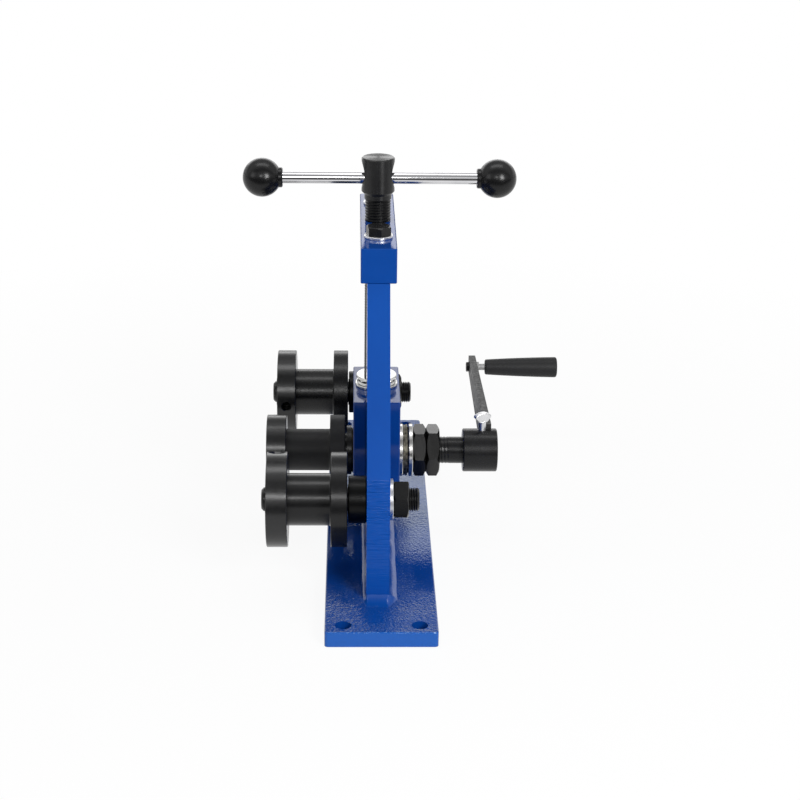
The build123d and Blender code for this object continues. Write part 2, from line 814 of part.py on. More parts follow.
def make_wing_bolt():
    hub = crank_hub_diameter / 2
    tip = hub - wing_bolt_grip
    wings_bottom = hub + wing_bolt_neck
    radius = wing_bolt_diameter / 2
    shank = turned_upright(rod_profile(tip + seat_gap, hub + seat_gap, radius, radius / 4))
    neck = turned_upright(rod_profile(hub + seat_gap, wings_bottom + wing_edge, wing_neck_diameter / 2))
    half = wing_span / 2
    left = [
        (-half * 0.95, wings_bottom + wing_tip_high),
        (-half, wings_bottom + wing_tip_low),
        (-wing_root_width / 2, wings_bottom),
    ]
    right = [(-x, z) for x, z in reversed(left)]
    top = ThreePointArc(right[-1], (0, wings_bottom + wing_height), left[0])
    fan = make_face(Polyline(*left, *right) + top)
    wings = extrude(Plane.XZ * fan, amount=wing_thickness / 2, both=True)
    wings = fillet(wings.edges(), wing_edge)
    bolt = Rot(0, 0, wing_turn) * (wings + neck + shank)
    return Pos(0, 0, shaft_z) * wing_bolt_place() * bolt


handle_neck_start = arm_outer_face + handle_collar_length
grip_start = handle_neck_start + handle_neck_length
grip_end = grip_start + grip_length
handle_head_start = grip_end - handle_head_recess


def make_handle_bolt():
    radius = handle_bolt_diameter / 2
    collar = handle_collar_diameter / 2
    head = handle_head_diameter / 2
    profile = [
        (arm_inner_face - handle_nut_height, 0),
        (arm_inner_face - handle_nut_height, radius),
        (arm_outer_face, radius),
        (arm_outer_face, collar),
        (handle_neck_start, collar),
        (handle_neck_start, radius),
        (handle_head_start, radius),
        (handle_head_start, head),
        (handle_head_start + handle_head_height, head),
        (handle_head_start + handle_head_height, 0),
    ]
    return crank_place() * turned(profile, handle_radius, 0)


def make_handle_nut():
    start = arm_inner_face - handle_nut_height
    nut = hexagon(handle_nut_flats, start, arm_inner_face, 0, True, False)
    nut -= turned(rod_profile(start, arm_inner_face, handle_bolt_diameter / 2 + seat_gap))
    return crank_place() * Pos(0, handle_radius, 0) * nut


def make_handle_grip():
    start = grip_start + end_float
    small_end = (start, grip_small_diameter / 2)
    large_end = (grip_end, grip_large_diameter / 2)
    bore = handle_bolt_diameter / 2 + 2 * running_gap
    recess = handle_head_diameter / 2 + end_float
    recess_floor = handle_head_start - end_float
    swell = ThreePointArc(small_end, ((start + grip_end) / 2, grip_swell_diameter / 2), large_end)
    core = Polyline(
        large_end, (grip_end, recess), (recess_floor, recess), (recess_floor, bore), (start, bore), small_end
    )
    section = make_face(swell + core)
    section = fillet(section.vertices().sort_by(Axis.Y)[-1], grip_large_edge)
    section = fillet(section.vertices().group_by(Axis.X)[0].sort_by(Axis.Y)[-1], grip_small_edge)
    grip = revolve(section, Axis.X)
    return crank_place() * Pos(0, handle_radius, 0) * grip


# All nodes

def make_nodes():
    nodes = {
        "base_plate": make_base_plate(),
        "frame_plate": make_frame_plate(),
        "foot_weld": make_foot_weld(),
        "crosshead": make_crosshead(),
        "crosshead_bolts": make_crosshead_bolts(),
        "crosshead_washers": make_crosshead_washers(),
        "axle_washers": make_axle_washers(),
        "axle_nuts": make_axle_nuts(),
        "axle_circlips": make_circlips(),
        "carriage": make_carriage(),
        "carriage_bushes": make_carriage_bushes(),
        "thrust_washer": make_thrust_washer(),
        "screw_retaining_pins": make_retaining_pins(),
        "pressure_screw": make_pressure_screw(),
        "tommy_bar": make_tommy_bar(),
        "left_ball_knob": make_ball_knob(-1),
        "right_ball_knob": make_ball_knob(1),
        "drive_shaft": make_drive_shaft(),
        "drive_key": make_drive_key(),
        "drive_roller": make_drive_roller(),
        "drive_end_screw": make_end_screw(),
        "lock_nuts": make_lock_nuts(),
        "crank_hub": make_crank_hub(),
        "crank_arm": make_crank_arm(),
        "wing_bolt": make_wing_bolt(),
        "handle_bolt": make_handle_bolt(),
        "handle_nut": make_handle_nut(),
        "handle_grip": make_handle_grip(),
    }
    idlers = (("front", -1, front_screw_angle, front_screw_mouth), ("rear", 1, rear_screw_angle, set_screw_mouth))
    for name, side, screw_angle, mouth in idlers:
        y = side * axle_y
        span = (idle_outer_face, idle_groove_end)
        nodes[name + "_axle"] = make_axle(y)
        nodes[name + "_spacer"] = make_spacer(y)
        nodes[name + "_roller"] = make_idle_roller(y)
        nodes[name + "_roller_bush"] = make_roller_bush(y)
        nodes[name + "_outer_flange"] = make_outer_flange(
            *span, idle_flange_diameter, idle_hub_diameter, screw_angle, mouth, y, axle_z
        )
        nodes[name + "_set_screw"] = make_set_screw(*span, idle_hub_diameter, screw_angle, y, axle_z)
    span = (drive_outer_face, drive_groove_end)
    nodes["drive_outer_flange"] = make_outer_flange(
        *span, drive_flange_diameter, drive_hub_diameter, drive_screw_angle, set_screw_mouth, 0, shaft_z
    )
    nodes["drive_set_screw"] = make_set_screw(*span, drive_hub_diameter, drive_screw_angle, 0, shaft_z)

    near_race, far_race, balls, cage = thrust_bearing(
        drive_bearing_diameter, drive_bearing_diameter, shaft_diameter + 4 * running_gap,
        drive_bearing_height, drive_bearing_race, drive_ball_diameter, drive_ball_count,
        lock_nut_thread + 2 * seat_gap, drive_cage_thickness, drive_cage_lip,
    )
    place = Pos(carriage_face, 0, shaft_z)
    nodes["crank_bearing_fixed_race"] = place * near_race
    nodes["crank_bearing_turning_race"] = place * far_race
    nodes["crank_bearing_balls"] = group([place * ball for ball in balls])
    nodes["crank_bearing_cage"] = place * cage

    near_race, far_race, balls, cage = thrust_bearing(
        screw_bearing_diameter, screw_bearing_upper_diameter, screw_bearing_bore,
        screw_bearing_height, screw_bearing_race, screw_ball_diameter, screw_ball_count,
        screw_spigot_diameter + 2 * seat_gap, screw_cage_thickness,
    )
    place = Pos(0, 0, carriage_top) * Rot(0, -90, 0)
    nodes["screw_bearing_lower_race"] = place * near_race
    nodes["screw_bearing_upper_race"] = place * far_race
    nodes["screw_bearing_balls"] = group([place * ball for ball in balls])
    nodes["screw_bearing_cage"] = place * cage
    return nodes


os.makedirs("parts", exist_ok=True)
for node_name, shape in make_nodes().items():
    export_step(shape, os.path.join("parts", node_name + ".step"))
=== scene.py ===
"""The looks of a manual pipe bender: finishes, threads, weld beads and a plain studio around its solids."""

import json
import math

import bmesh
import bpy
from mathutils import Matrix, Vector, noise


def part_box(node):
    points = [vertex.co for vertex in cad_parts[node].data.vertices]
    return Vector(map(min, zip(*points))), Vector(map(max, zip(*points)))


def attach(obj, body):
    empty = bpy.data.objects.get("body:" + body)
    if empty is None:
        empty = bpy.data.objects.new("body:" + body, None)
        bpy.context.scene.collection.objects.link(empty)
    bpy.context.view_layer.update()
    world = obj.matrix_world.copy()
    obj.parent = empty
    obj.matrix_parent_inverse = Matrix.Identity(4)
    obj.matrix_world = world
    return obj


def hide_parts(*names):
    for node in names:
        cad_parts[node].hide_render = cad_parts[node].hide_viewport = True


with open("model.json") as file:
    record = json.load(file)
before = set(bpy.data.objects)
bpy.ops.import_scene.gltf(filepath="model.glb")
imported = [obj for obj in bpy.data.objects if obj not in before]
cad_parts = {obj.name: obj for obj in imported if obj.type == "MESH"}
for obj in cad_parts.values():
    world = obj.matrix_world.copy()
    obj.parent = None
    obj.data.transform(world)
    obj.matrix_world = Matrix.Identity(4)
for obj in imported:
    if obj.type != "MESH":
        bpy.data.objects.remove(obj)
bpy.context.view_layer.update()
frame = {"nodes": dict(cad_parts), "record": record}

nodes = frame["nodes"]
base_low, base_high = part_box("base_plate")
scene = bpy.context.scene
MM = 0.001

# Camera at the photograph's viewing angle, for a square picture
CAMERA_PLACE = Vector((-22.6, -1513.4, 717.8)) * MM
CAMERA_PITCH = math.radians(21.41)
CAMERA_YAW = math.radians(1.66)
CAMERA_ROLL = math.radians(0.77)
LENS = 81.70
SENSOR = 36.0

# Light
AMBIENT = 0.36
WHITE = (1.0, 1.0, 1.0, 1.0)
FLOOR_SPAN = 14.0
FLOOR_GREY = (0.9, 0.9, 0.9, 1.0)
FLOOR_GAP = 0.0002          # keeps the floor just under the base
FLOOR_GLOW = 1.0
FLOOR_GLOW_NEAR = 0.92      # share of the floor's own white close to the object, where its shadow falls
FLOOR_NEAR = 0.3            # distances from the object between which that share rises to 1
FLOOR_FAR = 0.9
FLOOR_MIRRORED = 0.95       # its brightness in reflections
FLOOR_FRONT = 0.1           # and there far in front of the object
FRONT_FADE = (-0.75, -0.5)  # places along Y between which it changes
SHADOW_PATCH_EDGE = 0.004      # soft edge of the painted shadow under the base, dark in reflections
# Brightness of the room in reflections, by angle in degrees from the front, over the top, to the back
ROOM = (
    (0, 0.08), (6, 0.12), (13, 0.6), (20, 0.8), (40, 0.8), (48, 0.35), (66, 0.3), (76, 0.8),
    (90, 0.9), (115, 0.9), (126, 0.5), (143, 0.42), (149, 0.8), (153, 1.0), (166, 1.0),
)
# Soft lights: bearing and elevation in degrees, distance, width and height in metres, and watts
LAMPS = {
    "key": (29, 25, 1.8, 0.5, 0.6, 19),
    "front_fill": (-6, 27, 2.0, 0.5, 0.26, 3.7),
    "top": (180, 84, 1.6, 1.4, 0.4, 5.5),
    "back": (180, 17, 2.6, 3.2, 0.5, 8),
    "left_fill": (-60, 25, 2.0, 0.8, 0.8, 3),
}
LAMP_TARGET = Vector((0, 0, 0.15))

# Axles across the machine, in millimetres: idle rollers before and behind the middle, drive shaft at it
IDLER_Y = 125.0
IDLER_Z = 83.5
SHAFT_Z = 75.8

# Threads, in millimetres: outside radius, pitch and depth, and the stretch that each is cut over
SCREW_THREAD = (11.0, 2.5, 1.5)
SCREW_CUT = (150.0, 310.6)
AXLE_THREAD = (10.0, 2.0, 1.0)
AXLE_CUT = (20.0, 36.0)
AXLE_BARREL_START = -25.0   # where the barrel that carries the thread starts, also for the shaft
SHAFT_THREAD = (12.0, 3.0, 0.3)
SHAFT_CUT = (55.0, 66.0)
SHAFT_BARREL_START = 56.0

# Frame plate and the weld bead round its foot, in millimetres
PLATE_HALF_THICKNESS = 9.5
PLATE_HALF_LENGTH = 171.0
PLATE_KINK = 121.5          # height up to which the ends of the plate are upright
BASE_TOP = 13.0
BEAD_LEGS = ((4.4, 2.2, 0.0), (6.8, 1.0, 0.3), (12.8, 2.0, 0.0))   # left, right, ends: leg, hollow, bulge
BEAD_HEIGHT = 4.8
BEAD_SINK = 0.1             # how far the bead's edges reach into plate and base
BEAD_STEP = 1.2
BEAD_PROFILE = 8            # steps across the bead
BEAD_RIPPLE = 2.6           # length and height of a ripple, and its lag in the middle of the bead
RIPPLE_HEIGHT = 0.12
RIPPLE_LAG = 0.35
BEAD_WANDER = 21.0          # length over which the bead's width drifts


def srgb(red, green, blue):
    """A display colour of 0 to 255 a channel as a linear colour."""
    channels = []
    for value in (red, green, blue):
        share = value / 255
        channels.append(share / 12.92 if share <= 0.04045 else ((share + 0.055) / 1.055) ** 2.4)
    return (*channels, 1.0)


def grey(level):
    return srgb(level, level, level)


PAINTED_LIGHT_END_BLUE = srgb(14, 81, 168)      # painted light: a lighter blue on the base's end faces, where more light falls
PALE_BLUE = (0.75, 1.0, 1.0, 1.0)  # glints on the grainy paint of the base
EDGE_DEPTH = 0.002                 # the end faces of the base that get the painted light, measured in from its ends
PIT_ENDS = (0.15, 0.19)            # distances from the middle of the base between which its grain deepens
DRAG_DEPTH = 0.002                 # bump of the torch cut's lines
DRAG_WORN = (0.075, 0.03)          # distances below the plate's kink where they are faint, and where full


class Graph:
    """A node tree, with short calls for the nodes that are used here."""

    def __init__(self, tree):
        self.tree = tree

    def node(self, kind, inputs=None, **settings):
        made = self.tree.nodes.new(kind)
        for key, value in settings.items():
            setattr(made, key, value)
        for socket, value in (inputs or {}).items():
            self.feed(made.inputs[socket], value)
        return made

    def feed(self, socket, value):
        if isinstance(value, bpy.types.NodeSocket):
            self.tree.links.new(value, socket)
        else:
            socket.default_value = value

    def split(self, vector):
        return self.node("ShaderNodeSeparateXYZ", {"Vector": vector}).outputs

    def remap(self, value, low, high, to_low=0.0, to_high=1.0):
        inputs = {"Value": value, "From Min": low, "From Max": high, "To Min": to_low, "To Max": to_high}
        return self.node("ShaderNodeMapRange", inputs).outputs["Result"]

    def math(self, operation, first, second=0.0):
        return self.node("ShaderNodeMath", {0: first, 1: second}, operation=operation).outputs["Value"]

    def ramp(self, share, stops):
        """A grey level by place along a ramp, from (place, level) pairs."""
        made = self.node("ShaderNodeValToRGB", {"Fac": share})
        elements = made.color_ramp.elements
        while len(elements) < len(stops):
            elements.new(1.0)
        for element, (place, level) in zip(elements, stops):
            element.position = place
            element.color = (level, level, level, 1.0)
        return made.outputs["Color"]


class Finish(Graph):
    """A material's node graph."""

    def __init__(self, name, **sockets):
        self.material = bpy.data.materials.new(name)
        self.material.use_nodes = True
        super().__init__(self.material.node_tree)
        self.shader = self.tree.nodes["Principled BSDF"]
        self.place = self.node("ShaderNodeTexCoord").outputs["Object"]
        for socket, value in sockets.items():
            self.set(socket.replace("_", " "), value)

    def set(self, socket, value):
        """Feeds one of the shader's own sockets."""
        names = {name.lower(): name for name in self.shader.inputs.keys()}
        self.feed(self.shader.inputs[names[socket.lower()]], value)

    def stretched(self, along, turn=(0, 0, 0)):
        """The place on the piece, stretched by a factor along each axis."""
        mapped = self.node("ShaderNodeMapping", {"Vector": self.place, "Scale": along, "Rotation": turn})
        return mapped.outputs["Vector"]

    def noise(self, scale, detail=2.0, roughness=0.5, place=None):
        inputs = {"Vector": place or self.place, "Scale": scale, "Detail": detail, "Roughness": roughness}
        return self.node("ShaderNodeTexNoise", inputs).outputs["Fac"]

    def tint(self, share, first, second):
        mix = self.node("ShaderNodeMix", data_type="RGBA")
        self.feed(mix.inputs["Factor"], share)
        colours = [socket for socket in mix.inputs if socket.type == "RGBA"]
        self.feed(colours[0], first)
        self.feed(colours[1], second)
        return next(socket for socket in mix.outputs if socket.type == "RGBA")

    def bump(self, height, distance, under=None):
        """A bump of that many metres for a height of 1."""
        inputs = {"Height": height, "Distance": distance, "Strength": 1.0}
        if under:
            inputs["Normal"] = under
        return self.node("ShaderNodeBump", inputs).outputs["Normal"]

    def turned(self, scale, y=0.0, z=0.0, axle="X"):
        """Fine rings round an axle, at y and z where it lies along X.

        They are a lathe's tool marks, on a barrel and across a face.
        """
        offset = self.node("ShaderNodeVectorMath", {0: self.place, 1: (0, y, z)}, operation="SUBTRACT")
        parts = self.split(offset.outputs["Vector"])
        sides = {side: parts[side] for side in "XYZ" if side != axle}
        across = self.node("ShaderNodeCombineXYZ", sides).outputs["Vector"]
        radius = self.node("ShaderNodeVectorMath", {0: across}, operation="LENGTH").outputs["Value"]
        rings = self.node("ShaderNodeCombineXYZ", {"X": parts[axle], "Y": radius}).outputs["Vector"]
        return self.noise(scale, 3.0, 0.6, rings)


def blue_paint(name, dark=srgb(10, 68, 150), light=srgb(13, 73, 158), peel=0.00002, pits=0.0, drag_top=None,
               ior=1.25, rough=0.06):
    """Gloss enamel with orange peel; pits show mill scale under it and bring painted light onto the base's
    end faces, drag lines the torch cut of an edge.
    """
    paint = Finish(name, ior=ior)
    colour = paint.tint(paint.remap(paint.noise(14, 3), 0.3, 0.7), dark, light)
    paint.set("Roughness", paint.remap(paint.noise(160, 3), 0.3, 0.7, rough, 2 * rough))
    normal = paint.bump(paint.noise(420, 2), peel)
    if pits:
        paint.set("Specular Tint", PALE_BLUE)
        along = paint.math("ABSOLUTE", paint.split(paint.place)["Y"])
        # Painted light: the base's end faces are tinted a lighter blue, as if more light fell on them.
        end_face = paint.remap(along, base_high[1] - EDGE_DEPTH, base_high[1] - EDGE_DEPTH / 2)
        colour = paint.tint(end_face, colour, PAINTED_LIGHT_END_BLUE)
        normal = paint.bump(scale_pits(paint, along), pits, normal)
    if drag_top:
        normal = paint.bump(drag_lines(paint, drag_top), DRAG_DEPTH, normal)
    paint.set("Base Color", colour)
    paint.set("Normal", normal)
    return paint.material


def scale_pits(paint, along):
    """Grains on upward faces, in patches and deeper towards the ends of a plate that lies along Y."""
    facing_up = paint.split(paint.node("ShaderNodeNewGeometry").outputs["True Normal"])["Z"]
    ends = paint.remap(along, *PIT_ENDS, 0.14, 1.0)
    patches = paint.remap(paint.noise(30, 2), 0.36, 0.58, 0.35, 1.0)
    grains = paint.remap(paint.noise(400, 2, 0.6), 0.3, 0.7)
    amount = paint.math("MULTIPLY", paint.math("MULTIPLY", patches, ends), paint.remap(facing_up, 0.3, 0.6))
    return paint.math("MULTIPLY", grains, amount)


def drag_lines(paint, top):
    """Level ridges on faces that look along Y, up to a height and fading below it."""
    facing = paint.split(paint.node("ShaderNodeNewGeometry").outputs["True Normal"])
    end_face = paint.remap(paint.math("ABSOLUTE", facing["Y"]), 0.96, 0.99)
    height = paint.split(paint.place)["Z"]
    below_kink = paint.remap(height, top + 0.001, top - 0.001)
    worn = paint.remap(height, top - DRAG_WORN[0], top - DRAG_WORN[1], 0.12, 1.0)
    lines = paint.noise(1.0, 2.0, 0.5, paint.stretched((40, 40, 560), (0, math.radians(2), 0)))
    mask = paint.math("MULTIPLY", paint.math("MULTIPLY", end_face, below_kink), worn)
    return paint.math("MULTIPLY", lines, mask)


def black_oxide(name, y=0.0, z=0.0, dark=srgb(20, 20, 21), light=srgb(26, 26, 27), smooth=0.24, shine=0.24,
                axle="X", fineness=1400, marks=0.000006, spun=0.0):
    """Blackened steel off the lathe, with tool marks of a depth in metres round its axle.

    A spun finish draws highlights out across the marks, about an axle through the origin.
    """
    steel = Finish(name, specular_ior_level=shine)
    if spun:
        steel.set("Anisotropic", spun)
        steel.set("Anisotropic Rotation", 0.25)
        round_axle = steel.node("ShaderNodeTangent", direction_type="RADIAL", axis=axle)
        steel.set("Tangent", round_axle.outputs["Tangent"])
    steel.set("Base Color", steel.tint(steel.remap(steel.noise(60, 4, 0.6), 0.3, 0.7), dark, light))
    steel.set("Roughness", steel.remap(steel.noise(240, 3), 0.3, 0.7, smooth, smooth + 0.06))
    steel.set("Normal", steel.bump(steel.turned(fineness, y, z, axle), marks))
    return steel.material


def metal(name, colour, worn, rough, marks=None, y=0.0, z=0.0, patches=90):
    """Bare or plated metal, clean to worn in patches.

    Marks stretch its grain by a factor along each axis. Without them it has tool marks round an axle.
    """
    steel = Finish(name, metallic=1.0)
    steel.set("Base Color", steel.tint(steel.remap(steel.noise(patches, 4, 0.6), 0.35, 0.7), colour, worn))
    steel.set("Roughness", steel.remap(steel.noise(300, 3), 0.3, 0.7, rough, rough * 1.6))
    grain = steel.noise(1.0, 3.0, 0.6, steel.stretched(marks)) if marks else steel.turned(1400, y, z)
    steel.set("Normal", steel.bump(grain, 0.000005))
    return steel.material


def moulded(name, dark, light, rough, grain_scale, grain_depth, shine=0.5):
    """A moulded knob or grip."""
    plastic = Finish(name, specular_ior_level=shine)
    plastic.set("Base Color", plastic.tint(plastic.noise(140, 3), dark, light))
    plastic.set("Roughness", plastic.remap(plastic.noise(350, 3), 0.3, 0.7, rough, rough + 0.06))
    plastic.set("Normal", plastic.bump(plastic.noise(grain_scale, 3), grain_depth))
    return plastic.material


def finish_nodes():
    """Gives every solid its own finish, or else the one of its material slot in the record."""
    by_slot = {
        "blue_paint": blue_paint("blue_paint"),
        # Navy paint, darkened further as painted shade for the shadow the carriage sits in.
        "navy_paint": blue_paint("carriage_navy_and_shade", srgb(6, 53, 124), srgb(10, 63, 140), ior=1.32),
        "roller_steel": black_oxide("roller_steel"),
        "black_steel": black_oxide("black_steel"),
        "bright_steel": metal("bright_steel", srgb(214, 214, 213), srgb(200, 199, 196), 0.16, z=SHAFT_Z * MM),
        "cage_steel": metal(
            "cage_steel", srgb(128, 124, 110), srgb(24, 21, 17), 0.32, (500, 500, 500), patches=330),
        "zinc": metal("zinc", srgb(236, 236, 237), srgb(218, 219, 221), 0.24, (120, 120, 120)),
        "grey_steel": metal("grey_steel", grey(79), grey(59), 0.42, (900, 25, 900)),
        "chrome": metal("chrome", srgb(222, 222, 224), srgb(212, 212, 215), 0.06, (30, 30, 30)),
        "gloss_black": moulded("gloss_black", srgb(12, 12, 13), srgb(17, 17, 18), 0.22, 300, 0.000002, 0.3),
        "matte_black": moulded("matte_black", srgb(23, 23, 24), srgb(29, 29, 30), 0.5, 2200, 0.00004, 0.3),
        "bronze": metal("bronze", srgb(190, 140, 80), srgb(150, 105, 60), 0.25),
    }
    own = {
        "base_plate": blue_paint(
            "base_paint", srgb(9, 62, 142), srgb(12, 69, 152), 0.00003, 0.0007, ior=1.46, rough=0.035),
        "frame_plate": blue_paint("plate_paint", drag_top=PLATE_KINK * MM),
        # Painted shade: the crosshead has a darker copy of the frame's blue, standing in for the shade on it.
        "crosshead": blue_paint("crosshead_shaded_paint", srgb(10, 60, 135), srgb(14, 67, 147)),
        "foot_weld": blue_paint("weld_paint", peel=0.0001, ior=1.42),
        "lock_nuts": black_oxide(
            "nut_steel", 0.0, SHAFT_Z * MM, grey(8), srgb(12, 12, 11), smooth=0.18, shine=0.3),
        "axle_nuts": black_oxide("axle_nut_steel", dark=grey(5), light=grey(9), smooth=0.2),
        "pressure_screw": black_oxide(
            "head_steel", smooth=0.3, shine=0.36, axle="Z", fineness=2500, marks=0.000004, spun=0.8),
        "axle_circlips": black_oxide("clip_steel", dark=grey(60), light=grey(74)),
        # Painted shade: the thrust washer's bronze is darkened for the shade in the gap it sits in.
        "thrust_washer": metal("gap_shade_bronze", srgb(48, 42, 36), srgb(34, 30, 27), 0.4),
        "handle_bolt": metal("grey_bolt", grey(170), grey(150), 0.45, (200, 200, 200)),
    }
    rollers = (
        ("front", -IDLER_Y, IDLER_Z, 0.2),
        ("rear", IDLER_Y, IDLER_Z, 0.23),
        ("drive", 0.0, SHAFT_Z, 0.5),
    )
    for name, y, z, smooth in rollers:
        axle = (y * MM, z * MM)
        own[name + "_roller"] = black_oxide(
            name + "_steel", *axle, srgb(15, 15, 16), srgb(20, 20, 21), smooth, shine=0.32)
        own[name + "_outer_flange"] = black_oxide(
            name + "_flange_steel", *axle, srgb(17, 17, 18), srgb(23, 23, 24), smooth=0.2, shine=0.5)
        if name + "_spacer" in nodes:
            own[name + "_spacer"] = black_oxide(
                name + "_spacer_steel", *axle, grey(6), grey(10), smooth=0.3, shine=0.2)
    slots = {part["node"]: part["material_slot"] for part in frame["record"]["subparts"]}
    for name, item in nodes.items():
        item.data.materials.clear()
        item.data.materials.append(own.get(name, by_slot[slots[name]]))
    return slots


def add_piece(name, mesh, body, node):
    """Puts a detailed piece in the place of a node, on the body that carries it."""
    piece = bpy.data.objects.new(name, mesh)
    scene.collection.objects.link(piece)
    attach(piece, body)
    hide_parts(node)


def thread_wall(low, high, start, end, radius, pitch, depth, around=48):
    """A barrel about Z from low to high, threaded from start to end: points and faces.

    The thread runs out over half a pitch at each end.
    """
    points, faces = [], []
    rows = 4 * (math.ceil((high - low) / pitch) + 2)
    shares = (0.0, 0.2, 0.5, 0.7)      # of a pitch: both edges of the crest, then both edges of the root
    for row in range(rows):
        turn_number, part = divmod(row, 4)
        for step in range(around + 1):
            spot = low + pitch * (turn_number - 1 + shares[part] + step / around)
            fade = 2 / pitch * min(spot - start, end - spot)
            deep = depth * min(1.0, max(0.0, fade)) if part > 1 else 0.0
            angle = 2 * math.pi * step / around
            reach = radius - deep
            points.append((reach * math.cos(angle), reach * math.sin(angle), min(high, max(low, spot))))
    for row in range(rows - 1):
        for step in range(around):
            first = row * (around + 1) + step
            faces.append((first, first + 1, first + around + 2, first + around + 1))
    return points, faces


def cut_thread(node, body, finish, thread, cut, place=Matrix.Identity(4), barrel_start=-1000.0):
    """Copies a node and swaps its plain barrel, from a start along the place's Z, for one with a thread."""
    solid = nodes[node]
    radius, pitch, depth = (size * MM for size in thread)
    inward = place.inverted()
    near = 0.03 * MM
    work = bmesh.new()
    work.from_mesh(solid.data)
    plain, reach = [], []
    for face in work.faces:
        spots = [inward @ vertex.co for vertex in face.verts]
        on_barrel = all(abs(math.hypot(spot.x, spot.y) - radius) < near for spot in spots)
        heights = [spot.z for spot in spots]
        if on_barrel and barrel_start * MM - near < min(heights):
            plain.append(face)
            reach += heights
    bmesh.ops.delete(work, geom=plain, context="FACES")
    start, end = (edge * MM for edge in cut)
    points, faces = thread_wall(min(reach), max(reach), start, end, radius, pitch, depth)
    corners = [work.verts.new(place @ Vector(point)) for point in points]
    for face in faces:
        loop = [corners[number] for number in face]
        if len({tuple(round(value, 7) for value in corner.co) for corner in loop}) == 4:
            made = work.faces.new(loop)
            made.smooth = True
            made.material_index = 1
    mesh = bpy.data.meshes.new(node + "_threaded")
    work.to_mesh(mesh)
    work.free()
    mesh.materials.append(solid.data.materials[0])
    mesh.materials.append(finish)
    add_piece(node + "_threaded", mesh, body, node)


def bead_spot(along):
    """Place, outward direction and leg at a distance round the plate's foot, from its front left corner."""
    width, length = 2 * PLATE_HALF_THICKNESS, 2 * PLATE_HALF_LENGTH
    left, right, end = BEAD_LEGS
    sides = (
        (width, Vector((-PLATE_HALF_THICKNESS, -PLATE_HALF_LENGTH)), Vector((1, 0)), Vector((0, -1)), end),
        (length, Vector((PLATE_HALF_THICKNESS, -PLATE_HALF_LENGTH)), Vector((0, 1)), Vector((1, 0)), right),
        (width, Vector((PLATE_HALF_THICKNESS, PLATE_HALF_LENGTH)), Vector((-1, 0)), Vector((0, 1)), end),
        (length, Vector((-PLATE_HALF_THICKNESS, PLATE_HALF_LENGTH)), Vector((0, -1)), Vector((-1, 0)), left),
    )
    for size, corner, forward, outward, leg in sides:
        if along <= size:
            return corner + forward * along, outward, leg
        along -= size
    return bead_spot(along)


def add_bead():
    """A rippled weld bead, wider on the crank side and run out at the ends of the plate."""
    around = 4 * (PLATE_HALF_THICKNESS + PLATE_HALF_LENGTH)
    count = round(around / BEAD_STEP)
    points, faces = [], []
    for number in range(count):
        along = around * number / count
        spot, outward, (leg, hollow, bulge) = bead_spot(along)
        drift = noise.noise(Vector((along / BEAD_WANDER, 3.7, 0.0)))
        for part in range(BEAD_PROFILE + 1):
            share = part / BEAD_PROFILE
            ripple = math.sin(2 * math.pi * (along / BEAD_RIPPLE - RIPPLE_LAG * math.sin(math.pi * share)))
            swell = (bulge + RIPPLE_HEIGHT * ripple + 0.15 * drift) * math.sin(math.pi * share)
            out = leg * (1 + 0.1 * drift) * share + swell
            up = BEAD_HEIGHT * (1 + 0.08 * drift) * (1 - share) ** hollow + swell
            side = spot + outward * (out if part else -BEAD_SINK)
            points.append((side.x * MM, side.y * MM, (BASE_TOP + max(up, -BEAD_SINK)) * MM))
    stride = BEAD_PROFILE + 1
    for number in range(count):
        after = (number + 1) % count
        for part in range(BEAD_PROFILE):
            a, b = number * stride + part, after * stride + part
            faces.append((a, a + 1, b + 1, b))
    mesh = bpy.data.meshes.new("weld_bead")
    mesh.from_pydata(points, [], faces)
    mesh.shade_smooth()
    mesh.materials.append(nodes["foot_weld"].data.materials[0])
    add_piece("weld_bead", mesh, "frame", "foot_weld")


def add_details():
    """The threads and the weld, which the solids leave plain."""
    oiled = black_oxide("oiled_thread", dark=srgb(7, 7, 8), light=srgb(11, 11, 12), smooth=0.3, shine=0.18)
    cut_thread("pressure_screw", "screw", oiled, SCREW_THREAD, SCREW_CUT)
    level = Matrix.Rotation(math.radians(90), 4, "Y")
    for name, y in (("front_axle", -IDLER_Y), ("rear_axle", IDLER_Y)):
        place = Matrix.Translation((0, y * MM, IDLER_Z * MM)) @ level
        cut_thread(name, "frame", oiled, AXLE_THREAD, AXLE_CUT, place, AXLE_BARREL_START)
    place = Matrix.Translation((0, 0, SHAFT_Z * MM)) @ level
    cut_thread("drive_shaft", "crank", nodes["drive_shaft"].data.materials[0],
               SHAFT_THREAD, SHAFT_CUT, place, SHAFT_BARREL_START)
    add_bead()


def add_camera():
    forward = Vector((
        math.sin(CAMERA_YAW) * math.cos(CAMERA_PITCH),
        math.cos(CAMERA_YAW) * math.cos(CAMERA_PITCH),
        -math.sin(CAMERA_PITCH),
    ))
    level = Vector((math.cos(CAMERA_YAW), -math.sin(CAMERA_YAW), 0))
    above = level.cross(forward)
    right = level * math.cos(CAMERA_ROLL) + above * math.sin(CAMERA_ROLL)
    up = above * math.cos(CAMERA_ROLL) - level * math.sin(CAMERA_ROLL)
    data = bpy.data.cameras.new("camera")
    data.sensor_width = SENSOR
    data.lens = LENS
    camera = bpy.data.objects.new("camera", data)
    facing = Matrix((right, up, -forward)).transposed().to_4x4()
    camera.matrix_world = Matrix.Translation(CAMERA_PLACE) @ facing
    scene.collection.objects.link(camera)
    scene.camera = camera


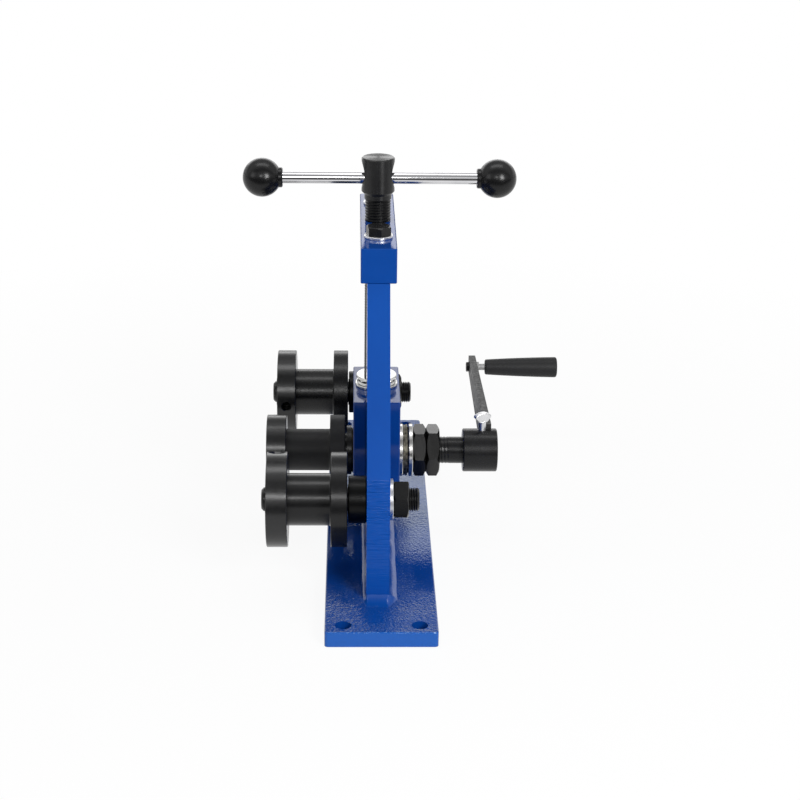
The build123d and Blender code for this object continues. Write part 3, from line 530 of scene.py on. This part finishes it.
def add_world():
    """White to the camera. In reflections it is a room: a dark horizon in front, then three bright bands."""
    world = bpy.data.worlds.new("studio")
    world.use_nodes = True
    scene.world = world
    graph = Graph(world.node_tree)
    rays = graph.node("ShaderNodeLightPath").outputs
    heading = graph.split(graph.node("ShaderNodeTexCoord").outputs["Generated"])
    angle = graph.math("ARCTAN2", heading["Z"], graph.math("MULTIPLY", heading["Y"], -1.0))
    stops = [(degrees / 180, level) for degrees, level in ROOM]
    room = graph.ramp(graph.remap(angle, 0.0, math.pi), stops)
    reflected = graph.remap(rays["Is Glossy Ray"], 0.0, 1.0, AMBIENT, room)
    seen = graph.math("MAXIMUM", rays["Is Camera Ray"], rays["Is Transmission Ray"])
    background = world.node_tree.nodes["Background"]
    background.inputs["Color"].default_value = WHITE
    graph.feed(background.inputs["Strength"], graph.remap(seen, 0.0, 1.0, reflected, 1.0))


def add_floor():
    """A white floor that glows to the camera, so that only a faint shadow is left on it near the object. In
    reflections it carries a painted shadow under the base.
    """
    mesh = bpy.data.meshes.new("floor")
    half = FLOOR_SPAN / 2
    corners = [(-half, -half, 0), (half, -half, 0), (half, half, 0), (-half, half, 0)]
    mesh.from_pydata(corners, [], [(0, 1, 2, 3)])
    floor = bpy.data.objects.new("floor", mesh)
    floor.location.z = -FLOOR_GAP
    scene.collection.objects.link(floor)
    material = bpy.data.materials.new("floor_white")
    material.use_nodes = True
    graph = Graph(material.node_tree)
    material.node_tree.nodes.clear()
    rays = graph.node("ShaderNodeLightPath").outputs
    place = graph.node("ShaderNodeTexCoord").outputs["Object"]
    distance = graph.node("ShaderNodeVectorMath", {0: place}, operation="LENGTH").outputs["Value"]
    glow = graph.remap(distance, FLOOR_NEAR, FLOOR_FAR, FLOOR_GLOW_NEAR, 1.0)
    seen = graph.math("MAXIMUM", rays["Is Camera Ray"], rays["Is Transmission Ray"])
    share = graph.math("MAXIMUM", graph.math("MULTIPLY", seen, glow), rays["Is Glossy Ray"])
    diffuse = graph.node("ShaderNodeBsdfDiffuse", {"Color": FLOOR_GREY})
    sides = graph.split(place)
    mirrored = graph.remap(sides["Y"], *FRONT_FADE, FLOOR_FRONT, FLOOR_MIRRORED)
    # Painted shadow: in reflections the floor is dark under the base's footprint, where shade falls.
    middle, half_width = (base_low[0] + base_high[0]) / 2, (base_high[0] - base_low[0]) / 2
    across = graph.math("ABSOLUTE", graph.math("SUBTRACT", sides["X"], middle))
    beside = graph.remap(across, half_width - SHADOW_PATCH_EDGE, half_width)
    beyond = graph.remap(graph.math("ABSOLUTE", sides["Y"]), base_high[1] - SHADOW_PATCH_EDGE, base_high[1])
    mirrored = graph.math("MULTIPLY", mirrored, graph.math("MAXIMUM", beside, beyond))
    strength = graph.remap(rays["Is Glossy Ray"], 0.0, 1.0, FLOOR_GLOW, mirrored)
    emission = graph.node("ShaderNodeEmission", {"Strength": strength})
    mix = graph.node("ShaderNodeMixShader", {0: share, 1: diffuse.outputs[0], 2: emission.outputs[0]})
    graph.node("ShaderNodeOutputMaterial", {"Surface": mix.outputs[0]})
    mesh.materials.append(material)


def add_softbox(name, bearing, elevation, distance, width, height, watts):
    """A soft light that faces the object; bearing 0 is the camera's side and 90 is +X."""
    turn, lift = math.radians(bearing), math.radians(elevation)
    away = Vector((math.sin(turn) * math.cos(lift), -math.cos(turn) * math.cos(lift), math.sin(lift)))
    data = bpy.data.lights.new(name, "AREA")
    data.shape = "RECTANGLE"
    data.size = width
    data.size_y = height
    data.energy = watts
    lamp = bpy.data.objects.new(name, data)
    lamp.location = LAMP_TARGET + away * distance
    lamp.rotation_euler = (-away).to_track_quat("-Z", "Y").to_euler()
    lamp.visible_camera = False
    scene.collection.objects.link(lamp)


def add_studio():
    add_world()
    add_floor()
    for name, settings in LAMPS.items():
        add_softbox(name, *settings)
    scene.view_settings.view_transform = "Standard"


material_slots = finish_nodes()
add_details()
add_camera()
add_studio()
